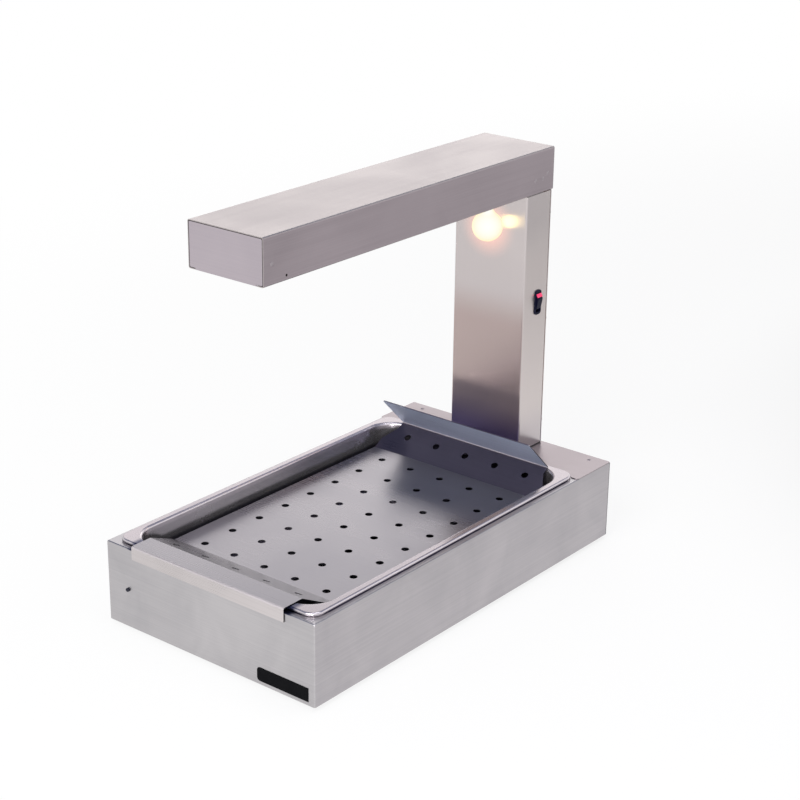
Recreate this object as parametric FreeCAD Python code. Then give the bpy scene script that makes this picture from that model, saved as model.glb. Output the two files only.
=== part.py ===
import FreeCAD, Part
import math
import os

from FreeCAD import Vector

# Chip warmer. Millimetres, X across the machine, +Y from the serving end to the column, +Z up.
# The pieces are modelled with Y = 0 at the front face of the base and shifted once, on export.

# Sheet work of the whole machine
sheet = 1.2
bend = 1.3
overrun = 5.0
seat_gap = 0.3
hair = 0.01

# Base
base_height = 108.0
foot_height = 5.0
top_edge_radius = 2.0
bottom_flange = 14.0
floor_margin = 2.0
ledge_clearance = 2.7

# Pan of the full gastronorm size
pan_length = 530.0
pan_width = 325.0
pan_depth = 65.0
pan_sheet = 0.8
pan_setback = 8.5
pan_side_gap = 8.5
rear_shelf = 71.5
rim_width = 11.5
rim_height = 5.0
rim_bend = 3.5
rim_edge_radius = 2.4
rim_curl_radius = 2.3
rim_foot = 3.2
rim_corner_radius = 17.0
well_corner_radius = 38.0
well_floor_radius = 12.0
well_taper_degrees = 2.5

# Perforated insert
insert_side_gap = 12.5
insert_end_inset = 13.5
insert_lip_gap = 0.3
insert_lip_length = 18.2
insert_front_flange = 32.1
insert_floor_drop = 20.0
insert_front_slope_degrees = 25.5
insert_rear_slope_degrees = 30.0
insert_fold_run = 1.66
insert_back_lip = 66.0
insert_back_lip_degrees = 45.0
insert_front_taper = 50.0
insert_rear_straight = 10.0
insert_rear_taper = 22.0
insert_corner_radius = 3.0
hole_diameter = 10.0
hole_pitch_across = 50.5
hole_pitch_along = 50.0
hole_edge_margin = 20.0
hole_first_row = 15.5
hole_fold_run = 22.6

# Rear of the base: crossmember, back panel and deck
crossmember_sheet = 2.0
crossmember_gap = 1.2
crossmember_width = 63.0
crossmember_depth = 36.0
back_side_flange = 12.0
back_top_flange = 15.0
deck_gap = 0.6
deck_ear = 7.1
deck_ear_radius = 5.0
deck_rear_radius = 2.0

# Column and arm
neck_width = 117.0
clear_height = 364.0
column_setback = 3.0
column_depth = 55.5
column_flange = 12.0
gasket_thickness = 1.5
gasket_width = 5.0
arm_height = 58.5
arm_front_setback = 45.3
arm_rear_setback = 0.5
arm_lip = 10.0
cap_seam = 0.8
cap_flange = 19.0
side_hole_diameter = 3.2
side_hole_from_front = 37.7
side_hole_height = 6.6

# Foot bracket, its bolts and the wire way
foot_bracket_sheet = 3.0
foot_bracket_ear = 40.0
wire_way_setback = 21.5
wire_way_diameter = 24.0
bolt_spacing_x = 76.0
bolt_spacing_y = 20.0
bolt_diameter = 6.0
bolt_clearance = 0.2
bolt_head_height = 4.0
bolt_tail = 8.0
bolt_flats = 10.0
nut_height = 5.0
nut_slack = 0.1
grommet_wall = 3.0
grommet_flange = 3.0
grommet_flange_height = 2.0

# Head bracket
head_bracket_sheet = 2.0
head_bracket_reach = 45.0

# Screws and rivets
screw_diameter = 4.0
screw_clearance = 0.2
cover_screw_head_diameter = 8.0
cover_screw_head_height = 3.0
cover_screw_tail = 2.5
cover_screw_edge = 5.0
cover_screw_height_shares = (0.087, 0.5, 0.913)
floor_screw_head_diameter = 7.5
floor_screw_head_height = 2.2
floor_screw_tail = 4.0
floor_screw_length_shares = (0.1, 0.5, 0.9)
rivet_diameter = 3.2
rivet_clearance = 0.1
rivet_head_diameter = 5.6
rivet_head_height = 0.9
rivet_tail_diameter = 4.6
rivet_tail_height = 1.6
deck_rivet_inset_x = 26.0
deck_rivet_inset_y = 13.0
arm_rivet_pitch = 16.3
arm_rivet_height = 19.0
arm_rivet_from_column = 17.0
cap_rivet_setback = 14.0
cap_rivet_height = 25.0

# Feet
foot_inset_x = 32.0
foot_inset_y = 32.0
foot_top_diameter = 22.0
foot_bottom_diameter = 18.0
foot_recess_diameter = 11.0
foot_recess_depth = 3.0
foot_screw_head_diameter = 8.0
foot_screw_head_height = 2.2
foot_nut_flats = 7.0
foot_nut_height = 3.2
foot_screw_tail = 2.0

# Plug in the front wall
plug_diameter = 5.0
plug_reach = 3.0
plug_neck_diameter = 4.0
plug_tip_radius = 1.2
plug_barb = 2.0
plug_inset_x = 36.0
plug_height = 51.6

# Rocker switch
switch_setback = 32.0
switch_height = 212.7
switch_bezel_length = 34.6
switch_bezel_width = 14.0
switch_bezel_height = 2.0
switch_bezel_radius = 4.6
switch_bezel_edge = 0.8
switch_body_length = 29.8
switch_body_width = 12.2
switch_body_depth = 22.0
switch_cutout_gap = 0.15
switch_floor_wall = 3.0
rocker_width = 10.0
rocker_side_gap = 0.3
rocker_half_length = 13.5
rocker_end_gap = 0.35
rocker_pivot_depth = 3.0
rocker_crown = 7.2
rocker_crown_half = 7.1
rocker_shoulder = 1.3
rocker_keel = 3.6
rocker_tilt_degrees = 11.0
rocker_band_depth = 1.2
rocker_pin_diameter = 3.0
rocker_pin_length = 0.6
rocker_pin_clearance = 0.05
terminal_tab_width = 6.3
terminal_tab_sheet = 0.8
terminal_tab_length = 9.0
terminal_tab_pitch = 10.0

# Heater in the arm
reflector_sheet = 0.8
reflector_gap = 2.0
reflector_mouth = 88.0
reflector_crown = 60.0
reflector_drop = 14.0
element_diameter = 8.5
element_spacing = 36.0
element_height = 24.0
element_bend_from_end = 24.0
element_tail = 6.0
element_clearance = 0.3
bush_body_diameter = 12.4
bush_clearance = 0.2
bush_collar_diameter = 16.0
bush_collar = 4.0
bush_tail = 5.0
bracket_width = 52.0
bracket_skirt = 7.0
bracket_foot = 12.0
element_bracket_shares = (0.15, 0.79)
terminal_flange = 12.0
pin_diameter = 3.0
pin_length = 9.0
pin_holder_gap = 6.2
pin_nut_flats = 5.5
pin_nut_height = 2.4

# Lamp
lamp_offset_x = 13.5
lamp_from_column = 25.5
lamp_glass_diameter = 41.0
lamp_drop = 41.0
lamp_glass_wall = 0.8
lamp_neck_diameter = 11.8
lamp_neck_length = 36.0
lamp_shoulder_radius = 16.0
lamp_cap_diameter = 13.5
lamp_cap_length = 19.0
lamp_cap_wall = 0.4
lamp_cap_overlap = 4.0
lamp_contact_diameter = 8.0
lamp_contact_length = 3.0
holder_diameter = 28.0
holder_bore_gap = 0.4
holder_skirt = 3.0
holder_collar_diameter = 34.0
holder_collar_height = 2.0
holder_height = 30.0
holder_plate_gap = 0.3
holder_edge_radius = 2.0
lamp_plate_upstand = 10.0

# Supply: gland, terminal block and earth point
gland_offset_x = 100.0
gland_height = 40.0
gland_thread_diameter = 15.4
gland_clearance = 0.3
gland_bore_diameter = 8.0
gland_flats = 19.0
gland_flange_height = 4.0
gland_dome_diameter = 17.6
gland_dome_height = 11.0
gland_dome_radius = 3.0
gland_thread_length = 9.0
gland_nut_height = 4.0
block_length = 44.0
block_width = 20.0
block_height = 17.0
block_offset_x = 70.0
block_from_rear = 36.0
block_way_diameter = 6.0
block_way_depth = 9.0
block_ways = 3
earth_diameter = 5.0
earth_height = 14.0
earth_base_diameter = 10.0
earth_base_height = 1.0
earth_nut_flats = 8.0
earth_nut_height = 4.0
earth_offset_x = 24.0

# Levels and faces that follow from the sizes above
floor_top = foot_height + sheet
ledge = floor_top + base_height
pan_front = pan_setback
pan_rear = pan_setback + pan_length
half_pan = pan_width / 2
half_base = half_pan + pan_side_gap
base_length = pan_rear + rear_shelf
shell_rear = base_length - sheet
half_well = half_pan - rim_width
well_front = pan_front + rim_width
well_rear = pan_rear - rim_width
well_lean = math.tan(math.radians(well_taper_degrees))
rim_top = ledge + rim_height
half_opening = half_well + pan_sheet + ledge_clearance
opening_front = well_front - pan_sheet - ledge_clearance
crossmember_front = well_rear + pan_sheet + crossmember_gap
crossmember_rear = crossmember_front + crossmember_width
deck_top = ledge + sheet
insert_top = rim_top + sheet
insert_front = -insert_lip_gap - sheet
half_insert = half_well - insert_side_gap
half_insert_end = half_insert - insert_end_inset
half_neck = neck_width / 2
column_rear = base_length - column_setback
column_front = column_rear - column_depth
column_foot = deck_top + gasket_thickness
arm_bottom = ledge + clear_height
arm_top = arm_bottom + arm_height
arm_front = arm_front_setback
arm_rear = base_length - arm_rear_setback
neck_inside = half_neck - sheet
arm_fit = neck_inside - bend
wire_way_y = column_front + wire_way_setback
screw_hole_diameter = screw_diameter + 2 * screw_clearance
bolt_hole_diameter = bolt_diameter + 2 * bolt_clearance
rivet_hole_diameter = rivet_diameter + 2 * rivet_clearance
gland_hole_diameter = gland_thread_diameter + 2 * gland_clearance
leg_hole_diameter = element_diameter + 2 * element_clearance
bolt_places = [(x * bolt_spacing_x / 2, wire_way_y + y * bolt_spacing_y / 2)
               for x in (-1, 1) for y in (-1, 1)]
head_bracket_front = column_front + sheet + bend + seat_gap
head_bracket_rear = arm_rear - cap_flange - seat_gap
lamp_x = lamp_offset_x
lamp_y = column_front - lamp_from_column
lamp_centre = arm_bottom - lamp_drop
element_end = lamp_y - holder_diameter / 2 - pin_holder_gap - pin_length
terminal_plate_front = element_end - element_tail - bush_tail - sheet
reflector_front = arm_front + cap_flange + reflector_gap
reflector_rear = terminal_plate_front - seat_gap
reflector_length = reflector_rear - reflector_front
element_level = arm_bottom + element_height
reflector_crown_top = arm_top - reflector_drop
switch_y = column_front + switch_setback
switch_z = ledge + switch_height
pivot_x = half_neck - rocker_pivot_depth
plug_x = -half_base + plug_inset_x
plug_z = floor_top + plug_height
gland_z = floor_top + gland_height
gland_reach = gland_flange_height + gland_dome_height
front_reach = max(plug_reach, insert_lip_gap + sheet)
rear_reach = base_length + gland_reach
middle_y = (rear_reach - front_reach) / 2
foot_places = [(x * (half_base - foot_inset_x), y) for x in (-1, 1)
               for y in (foot_inset_y, base_length - foot_inset_y)]
floor_screw_x = half_base - bottom_flange / 2
floor_screw_places = [(x * floor_screw_x, share * base_length) for x in (-1, 1)
                      for share in floor_screw_length_shares]

X = Vector(1, 0, 0)
Y = Vector(0, 1, 0)
Z = Vector(0, 0, 1)


def plan(x, y):
    return Vector(x, y, 0)


def side(y, z):
    return Vector(0, y, z)


def front(x, z):
    return Vector(x, 0, z)


def block(x, y, z):
    """Box between three pairs of planes."""
    return Part.makeBox(x[1] - x[0], y[1] - y[0], z[1] - z[0], Vector(x[0], y[0], z[0]))


def rod(diameter, start, end):
    """Round rod from one point to another."""
    way = end - start
    return Part.makeCylinder(diameter / 2, way.Length, start, way)


def hexagon(across_flats, start, end):
    """Six-sided bar from one point to another, square to X."""
    way = end - start
    corner = X * (across_flats / math.sqrt(3))
    points = [start + FreeCAD.Rotation(way, 60 * i).multVec(corner) for i in range(6)]
    return Part.Face(Part.makePolygon(points + points[:1])).extrude(way)


def closed_wire(corners):
    """Flat closed wire through (point, radius) corners, each rounded by a tangent arc."""
    arcs = []
    for i, (corner, radius) in enumerate(corners):
        back = (corners[i - 1][0] - corner).normalize()
        ahead = (corners[(i + 1) % len(corners)][0] - corner).normalize()
        half = back.getAngle(ahead) / 2
        if radius == 0:
            arcs.append([corner])
            continue
        inward = (back + ahead).normalize()
        reach = radius / math.tan(half)
        middle = corner + inward * (radius / math.sin(half) - radius)
        arcs.append([corner + back * reach, middle, corner + ahead * reach])
    edges = []
    for arc, following in zip(arcs, arcs[1:] + arcs[:1]):
        if len(arc) == 3:
            edges.append(Part.Arc(*arc).toShape())
        edges.append(Part.LineSegment(arc[-1], following[0]).toShape())
    return Part.Wire(edges)


def plate(corners, axis, start, end):
    """Solid with the outline given, between two planes square to an axis."""
    face = Part.Face(closed_wire(corners))
    face.translate(axis * start)
    return face.extrude(axis * (end - start))


def rectangle(x, y, radius):
    """Corners of a rectangle in plan, all with one radius."""
    return [(plan(x[0], y[0]), radius), (plan(x[1], y[0]), radius),
            (plan(x[1], y[1]), radius), (plan(x[0], y[1]), radius)]


def folded(path, thickness, hand, axis, start, end):
    """Folded sheet, from the sharp corners of its one face.

    hand is 1 where the sheet lies on the side of axis x path, and -1 on the other side.
    """
    ways = [(b - a).normalize() for a, b in zip(path, path[1:])]
    shifts = [axis.cross(way) * (hand * thickness) for way in ways]
    near = []
    far = []
    near_at = path[0]
    far_at = path[0] + shifts[0]
    for i, corner in enumerate(path[1:-1]):
        before, after = ways[i], ways[i + 1]
        half = before.getAngle(after) / 2
        towards_sheet = axis.dot(before.cross(after)) * hand > 0
        near_radius = bend + thickness if towards_sheet else bend
        far_radius = bend if towards_sheet else bend + thickness
        first = corner - before * (near_radius * math.tan(half))
        last = corner + after * (near_radius * math.tan(half))
        inward = (after - before).normalize()
        centre = corner + inward * (near_radius / math.cos(half))
        near.append(Part.LineSegment(near_at, first).toShape())
        near.append(Part.Arc(first, centre - inward * near_radius, last).toShape())
        far.append(Part.LineSegment(far_at, first + shifts[i]).toShape())
        far_last = last + shifts[i + 1]
        far.append(Part.Arc(first + shifts[i], centre - inward * far_radius, far_last).toShape())
        near_at = last
        far_at = far_last
    far_end = path[-1] + shifts[-1]
    near.append(Part.LineSegment(near_at, path[-1]).toShape())
    far.append(Part.LineSegment(far_at, far_end).toShape())
    edges = near + [Part.LineSegment(path[-1], far_end).toShape()] + far[::-1]
    edges.append(Part.LineSegment(path[0] + shifts[0], path[0]).toShape())
    face = Part.Face(Part.Wire(edges))
    face.translate(axis * start)
    return face.extrude(axis * (end - start))


def rounded(shape, radius, test):
    """Fillet the edges whose ends all pass a test."""
    edges = [edge for edge in shape.Edges if all(test(v.Point) for v in edge.Vertexes)]
    return shape.makeFillet(radius, edges)


def at_level(value, level):
    return abs(value - level) < hair


def dome(diameter, height, at, way):
    """Low round head on a face, bulging along way."""
    ball = ((diameter / 2) ** 2 + height ** 2) / (2 * height)
    sphere = Part.makeSphere(ball, at - way * (ball - height))
    return sphere.common(rod(diameter + overrun, at, at + way * (height + overrun)))


def rivet(at, way, grip):
    """Blind rivet with its head seated at a point and its tail swelled behind the grip."""
    inner = at - way * grip
    head = dome(rivet_head_diameter, rivet_head_height, at, way)
    tail = rod(rivet_tail_diameter, inner, inner - way * rivet_tail_height)
    return head.fuse([rod(rivet_diameter, inner, at), tail]).removeSplitter()


def screw(at, way, head_diameter, head_height, length):
    """Pan-head screw seated at a point, its shank running against way."""
    head = rod(head_diameter, at, at + way * head_height)
    crown = at + way * head_height
    head = rounded(head, head_height / 2, lambda p: at_level((p - crown).dot(way), 0))
    return head.fuse(rod(screw_diameter, at - way * length, at)).removeSplitter()


def base_shell():
    """Front and side walls in one wrapper, with a ledge turned in at the top and a flange at the bottom."""
    outer = plate([(plan(-half_base, 0), bend + sheet), (plan(half_base, 0), bend + sheet),
                   (plan(half_base, shell_rear), 0), (plan(-half_base, shell_rear), 0)], Z, floor_top, ledge)
    outer = rounded(outer, top_edge_radius, lambda p: at_level(p.z, ledge) and p.y < shell_rear + hair
                    and not (at_level(p.y, shell_rear) and abs(p.x) < half_base - hair))
    wall = half_base - sheet
    inner = plate([(plan(-wall, sheet), bend), (plan(wall, sheet), bend),
                   (plan(wall, base_length), 0), (plan(-wall, base_length), 0)],
                  Z, floor_top + sheet, ledge - sheet)
    opening = block((-half_opening, half_opening), (opening_front, base_length),
                    (ledge - overrun, ledge + overrun))
    lower = half_base - bottom_flange
    bottom = block((-lower, lower), (bottom_flange, base_length),
                   (floor_top - overrun, floor_top + overrun))
    shell = outer.cut([inner, opening, bottom])
    hole = rod(plug_neck_diameter + 2 * screw_clearance, Vector(plug_x, -overrun, plug_z),
               Vector(plug_x, overrun, plug_z))
    return shell.cut([hole] + upright_holes(floor_screw_places, screw_hole_diameter, floor_top))


def upright_holes(places, diameter, level):
    """Cutting rods through a plate near a level."""
    return [rod(diameter, Vector(x, y, level - overrun), Vector(x, y, level + overrun))
            for x, y in places]


def base_floor():
    """Flat floor plate that closes the base from below and carries the feet."""
    half = half_base - floor_margin
    floor = plate(rectangle((-half, half), (floor_margin, base_length - floor_margin), bend + sheet),
                  Z, foot_height, floor_top)
    return floor.cut(upright_holes(floor_screw_places + foot_places, screw_hole_diameter, floor_top))


def floor_screws():
    return Part.makeCompound([screw(Vector(x, y, foot_height), -Z, floor_screw_head_diameter,
                                    floor_screw_head_height, 2 * sheet + floor_screw_tail)
                              for x, y in floor_screw_places])


def rubber_foot(x, y):
    """Round foot, wider at the top, with a recess for its screw."""
    at = Vector(x, y, 0)
    foot = Part.makeCone(foot_bottom_diameter / 2, foot_top_diameter / 2, foot_height, at)
    recess = rod(foot_recess_diameter, at - Z * overrun, at + Z * foot_recess_depth)
    return foot.cut([recess, rod(screw_hole_diameter, at, at + Z * (foot_height + overrun))])


def foot_screw(x, y):
    seat = Vector(x, y, foot_recess_depth)
    length = floor_top - foot_recess_depth + foot_nut_height + foot_screw_tail
    return screw(seat, -Z, foot_screw_head_diameter, foot_screw_head_height, length)


def nut(at, across_flats, height, bore):
    """Hexagon nut standing on a point."""
    body = hexagon(across_flats, at, at + Z * height)
    return body.cut(rod(bore, at - Z * overrun, at + Z * (height + overrun)))


def foot_nut(x, y):
    return nut(Vector(x, y, floor_top), foot_nut_flats, foot_nut_height, screw_diameter + 2 * nut_slack)


def back_panel():
    """Back wall, with flanges turned forward at its top and sides and a hole for the gland."""
    wall = block((-half_base, half_base), (shell_rear, base_length), (floor_top, ledge))
    half = half_opening - seat_gap
    top = block((-half, half), (shell_rear - back_top_flange, shell_rear), (ledge - sheet, ledge))
    inside = half_base - sheet
    height = (floor_top + sheet + seat_gap, ledge - sheet - seat_gap)
    flanges = [block((min(s * inside, s * (inside - sheet)), max(s * inside, s * (inside - sheet))),
                     (shell_rear - back_side_flange, shell_rear), height) for s in (-1, 1)]
    panel = wall.fuse([top] + flanges).removeSplitter()
    hole = rod(gland_hole_diameter, Vector(-gland_offset_x, shell_rear - overrun, gland_z),
               Vector(-gland_offset_x, base_length + overrun, gland_z))
    return panel.cut([hole] + upright_holes(deck_rivet_places(), rivet_hole_diameter, ledge))


def deck_rivet_places():
    return [(s * (half_base - deck_rivet_inset_x), base_length - deck_rivet_inset_y) for s in (-1, 1)]


def column_crossmember():
    """Channel across the base, under the deck: it carries the column bolts and the pan's rear rim."""
    low = ledge - crossmember_depth
    path = [side(crossmember_front, low), side(crossmember_front, ledge),
            side(crossmember_rear, ledge), side(crossmember_rear, low)]
    wall = half_base - sheet
    channel = folded(path, crossmember_sheet, -1, X, -wall, wall)
    cutters = []
    ends = []
    inside = (crossmember_front + crossmember_sheet, crossmember_rear - crossmember_sheet)
    for s in (-1, 1):
        reach = sorted((s * (half_opening - seat_gap), s * (wall + overrun)))
        cutters.append(block(reach, (crossmember_front - overrun, crossmember_rear + overrun),
                             (ledge - sheet, ledge + overrun)))
        ends.append(block(sorted((s * wall, s * (wall - crossmember_sheet))), inside, (low, ledge - sheet)))
    channel = channel.cut(cutters).fuse(ends).removeSplitter()
    holes = upright_holes(bolt_places, bolt_hole_diameter, ledge)
    return channel.cut(holes + upright_holes([(0, wire_way_y)], wire_way_diameter, ledge))


def rear_deck():
    """Flat deck behind the pan, its front edge cut out round the rim so that an ear stands at each side."""
    ear_y = pan_rear + deck_gap - deck_ear
    corners = [(plan(-half_base, ear_y), deck_ear_radius), (plan(half_base, ear_y), deck_ear_radius),
               (plan(half_base, base_length), deck_rear_radius),
               (plan(-half_base, base_length), deck_rear_radius)]
    round_rim = rim_plate(-deck_gap, ledge - overrun, ledge + overrun)
    deck = plate(corners, Z, ledge, deck_top).cut(round_rim)
    holes = upright_holes(bolt_places, bolt_hole_diameter, ledge)
    holes += upright_holes([(0, wire_way_y)], wire_way_diameter, ledge)
    return deck.cut(holes + upright_holes(deck_rivet_places(), rivet_hole_diameter, ledge))


def deck_rivets():
    return Part.makeCompound([rivet(Vector(x, y, deck_top), Z, 2 * sheet) for x, y in deck_rivet_places()])


def front_plug():
    """Small moulded plug that snaps into the front wall and stands out of it."""
    face = Vector(plug_x, 0, plug_z)
    tip = rounded(rod(plug_diameter, face, face - Y * plug_reach), plug_tip_radius,
                  lambda p: at_level(p.y, -plug_reach))
    inner = face + Y * sheet
    neck = rod(plug_neck_diameter, face, inner + Y * plug_barb)
    barb = Part.makeCone(plug_diameter / 2, plug_neck_diameter / 2, plug_barb, inner, Y)
    return tip.fuse([neck, barb]).removeSplitter()


def pan_well(growth, depth, floor_radius):
    """Tapered well of the pan from the rim's top down, grown on all sides."""
    wires = []
    for level in (rim_top, rim_top - depth):
        inset = well_lean * (rim_top - level) - growth
        half = half_well - inset
        corners = rectangle((-half, half), (well_front + inset, well_rear - inset),
                            well_corner_radius - inset)
        wires.append(closed_wire([(corner + Z * level, radius) for corner, radius in corners]))
    well = Part.makeLoft(wires, True, True)
    return rounded(well, floor_radius, lambda p: at_level(p.z, rim_top - depth))


def rim_plate(inset, low, high):
    """Block of the rim's outline, with its corners rounded in plan."""
    half = half_pan - inset
    outline = rectangle((-half, half), (pan_front + inset, pan_rear - inset), rim_corner_radius - inset)
    return plate(outline, Z, low, high)


def rim_block(inset, low, high, top_radius, foot_radius):
    """Block of the rim's outline, rounded along its top and bottom edges."""
    body = rounded(rim_plate(inset, low, high), top_radius, lambda p: at_level(p.z, high))
    return rounded(body, foot_radius, lambda p: at_level(p.z, low))


def gastronorm_pan():
    """Drawn pan: a tapered well with rounded corners, and a rim rolled down and in, standing on the ledge."""
    well = pan_well(pan_sheet, pan_depth, well_floor_radius + pan_sheet)
    outside = rim_block(0, ledge, rim_top, rim_edge_radius, rim_curl_radius).fuse(well)
    half = half_pan + overrun
    above = block((-half, half), (pan_front - overrun, pan_rear + overrun), (rim_top, rim_top + overrun))
    cavity = above.fuse(pan_well(0, pan_depth - pan_sheet, well_floor_radius)).removeSplitter()
    cavity = rounded(cavity, rim_bend, lambda p: at_level(p.z, rim_top) and abs(p.x) < half_well + hair)
    flange = rim_top - pan_sheet
    under = rim_block(pan_sheet, ledge + pan_sheet, flange,
                      rim_edge_radius - pan_sheet, rim_curl_radius - pan_sheet)
    under = under.fuse(rim_plate(rim_foot, ledge - overrun, ledge + rim_curl_radius)).cut(well)
    inner_line = half_well + pan_sheet + hair
    under = rounded(under, rim_bend - pan_sheet, lambda p: at_level(p.z, flange) and abs(p.x) < inner_line)
    return outside.cut([cavity, under])


def slope_ends():
    """Points of the insert's upper face in side view, from the front lip to the back lip."""
    floor = ledge - insert_floor_drop
    front_angle = math.radians(insert_front_slope_degrees)
    rear_angle = math.radians(insert_rear_slope_degrees)
    lip_angle = math.radians(insert_back_lip_degrees)
    front_fold = side(insert_front + insert_front_flange, insert_top)
    floor_front = side(front_fold.y + (insert_top - floor) / math.tan(front_angle), floor)
    across = max(0, half_insert_end - half_well + well_corner_radius)
    corner_sag = well_corner_radius - math.sqrt(well_corner_radius ** 2 - across ** 2)
    rim_centre = side(well_rear - corner_sag + rim_bend, rim_top - rim_bend)
    along = side(math.cos(rear_angle), math.sin(rear_angle))
    square = side(-math.sin(rear_angle), math.cos(rear_angle))
    rear_fold = rim_centre + square * (rim_bend + seat_gap + sheet) + along * insert_fold_run
    floor_rear = rear_fold - along * ((rear_fold.z - floor) / math.sin(rear_angle))
    lip_top = rear_fold + side(-math.cos(lip_angle), math.sin(lip_angle)) * insert_back_lip
    return front_fold, floor_front, floor_rear, rear_fold, lip_top


def drain_insert():
    """One folded perforated sheet: it hooks over the pan's front rim and rests on its rear rim."""
    front_fold, floor_front, floor_rear, rear_fold, lip_top = slope_ends()
    path = [side(insert_front, insert_top - insert_lip_length), side(insert_front, insert_top),
            front_fold, floor_front, floor_rear, rear_fold, lip_top]
    blank = folded(path, sheet, -1, X, -half_insert, half_insert)
    rear_start = rear_fold.y - insert_rear_straight
    low = ledge - base_height
    high = lip_top.z + overrun
    behind = rear_fold.y + base_height
    out = half_insert + overrun
    cutters = []
    for s in (-1, 1):
        front_cut = [(plan(s * half_insert_end, insert_front - overrun), 0),
                     (plan(s * out, insert_front - overrun), 0),
                     (plan(s * out, front_fold.y + insert_front_taper), 0),
                     (plan(s * half_insert, front_fold.y + insert_front_taper), 0),
                     (plan(s * half_insert_end, front_fold.y), 0)]
        rear_cut = [(plan(s * half_insert, rear_start - insert_rear_taper), 0),
                    (plan(s * out, rear_start - insert_rear_taper), 0), (plan(s * out, behind), 0),
                    (plan(s * half_insert_end, behind), 0), (plan(s * half_insert_end, rear_start), 0)]
        cutters.append(plate(front_cut, Z, low, high))
        cutters.append(plate(rear_cut, Z, low, rear_fold.z + bend))
        cutters.append(block(sorted((s * half_insert_end, s * out)),
                             (floor_rear.y - insert_back_lip, behind), (rear_fold.z, high)))
    tray = blank.cut(cutters)
    for edge_x in (-half_insert_end, half_insert_end):
        tray = rounded(tray, insert_corner_radius, lambda p: at_level(p.x, edge_x)
                       and (side(p.y, p.z) - lip_top).Length < 2 * sheet)
    return tray.cut(insert_holes())


def insert_holes():
    """Cutting rods for the drain holes: rows on the floor and one row on each slope."""
    front_fold, floor_front, floor_rear, rear_fold, _ = slope_ends()
    rows = int((floor_rear.y - floor_front.y - hole_first_row - hole_diameter) / hole_pitch_along) + 1
    columns = int((half_insert_end - hole_edge_margin) / hole_pitch_across)
    centres = [(floor_front + Y * (hole_first_row + i * hole_pitch_along), Vector(Z)) for i in range(rows)]
    for fold, foot in ((front_fold, floor_front), (rear_fold, floor_rear)):
        down = (foot - fold).normalize()
        centres.append((fold + down * hole_fold_run, X.cross(down)))
    cutters = []
    for centre, square in centres:
        for i in range(-columns, columns + 1):
            at = centre + X * (i * hole_pitch_across)
            cutters.append(rod(hole_diameter, at - square * overrun, at + square * overrun))
    return cutters


def column_gasket():
    """Thin gasket frame between the column's walls and the deck."""
    outer = plate(rectangle((-half_neck, half_neck), (column_front, column_rear), bend + sheet),
                  Z, deck_top, column_foot)
    half = half_neck - gasket_width
    inner = (column_front + gasket_width, column_rear - gasket_width)
    return outer.cut(block((-half, half), inner, (ledge, column_foot + overrun)))


def column_foot_bracket():
    """Heavy bracket bolted down inside the column, with an ear up each side wall."""
    low = deck_top
    path = [front(-neck_inside, low + foot_bracket_ear), front(-neck_inside, low),
            front(neck_inside, low), front(neck_inside, low + foot_bracket_ear)]
    start = column_front + gasket_width + seat_gap
    end = column_rear - gasket_width - seat_gap
    bracket = folded(path, foot_bracket_sheet, -1, Y, start, end)
    bracket = bracket.cut(gasket_relief(start, end))
    holes = upright_holes(bolt_places, bolt_hole_diameter, low)
    return bracket.cut(holes + upright_holes([(0, wire_way_y)], wire_way_diameter, low))


def gasket_relief(start, end):
    """Notches in the foot bracket's bends, where the gasket frame passes under the column's side walls."""
    inner = half_neck - gasket_width - seat_gap
    return [block(sorted((s * inner, s * half_neck)), (start - overrun, end + overrun),
                  (ledge, column_foot + seat_gap)) for s in (-1, 1)]


def foot_bolt(x, y):
    """Hexagon bolt through the bracket, the deck and the crossmember."""
    seat = Vector(x, y, deck_top + foot_bracket_sheet)
    grip = foot_bracket_sheet + sheet + crossmember_sheet
    head = hexagon(bolt_flats, seat, seat + Z * bolt_head_height)
    return head.fuse(rod(bolt_diameter, seat - Z * (grip + bolt_tail), seat)).removeSplitter()


def foot_bolt_nut(x, y):
    at = Vector(x, y, ledge - crossmember_sheet - nut_height)
    return nut(at, bolt_flats, nut_height, bolt_diameter + 2 * nut_slack)


def wire_grommet():
    """Rubber grommet that lines the wire way through the bracket, the deck and the crossmember."""
    low = ledge - crossmember_sheet
    high = deck_top + foot_bracket_sheet
    sleeve_diameter = wire_way_diameter - 2 * seat_gap
    at = Vector(0, wire_way_y, 0)
    flange = wire_way_diameter + 2 * grommet_flange
    parts = [rod(flange, at + Z * high, at + Z * (high + grommet_flange_height)),
             rod(flange, at + Z * (low - grommet_flange_height), at + Z * low)]
    body = rod(sleeve_diameter, at + Z * low, at + Z * high).fuse(parts)
    bore = rod(wire_way_diameter - 2 * grommet_wall, at + Z * (low - overrun), at + Z * (high + overrun))
    return body.cut(bore).removeSplitter()


def column_channel():
    """Front and side walls of the column in one folded sheet, with flanges for its cover."""
    rear = column_rear - sheet
    inner = half_neck - column_flange
    path = [plan(-inner, rear), plan(-half_neck, rear), plan(-half_neck, column_front),
            plan(half_neck, column_front), plan(half_neck, rear), plan(inner, rear)]
    channel = folded(path, sheet, 1, Z, column_foot, arm_bottom)
    length = switch_body_length / 2 + switch_cutout_gap
    width = switch_body_width / 2 + switch_cutout_gap
    cutout = block((half_neck - overrun, half_neck + overrun), (switch_y - width, switch_y + width),
                   (switch_z - length, switch_z + length))
    return channel.cut([cutout] + cover_screw_holes())


def cover_screw_seats():
    """Points on the back cover's face under each screw head."""
    height = arm_bottom - column_foot
    return [Vector(s * (half_neck - cover_screw_edge), column_rear, column_foot + share * height)
            for s in (-1, 1) for share in cover_screw_height_shares]


def cover_screw_holes():
    return [rod(screw_hole_diameter, at - Y * overrun, at + Y * overrun) for at in cover_screw_seats()]


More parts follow.
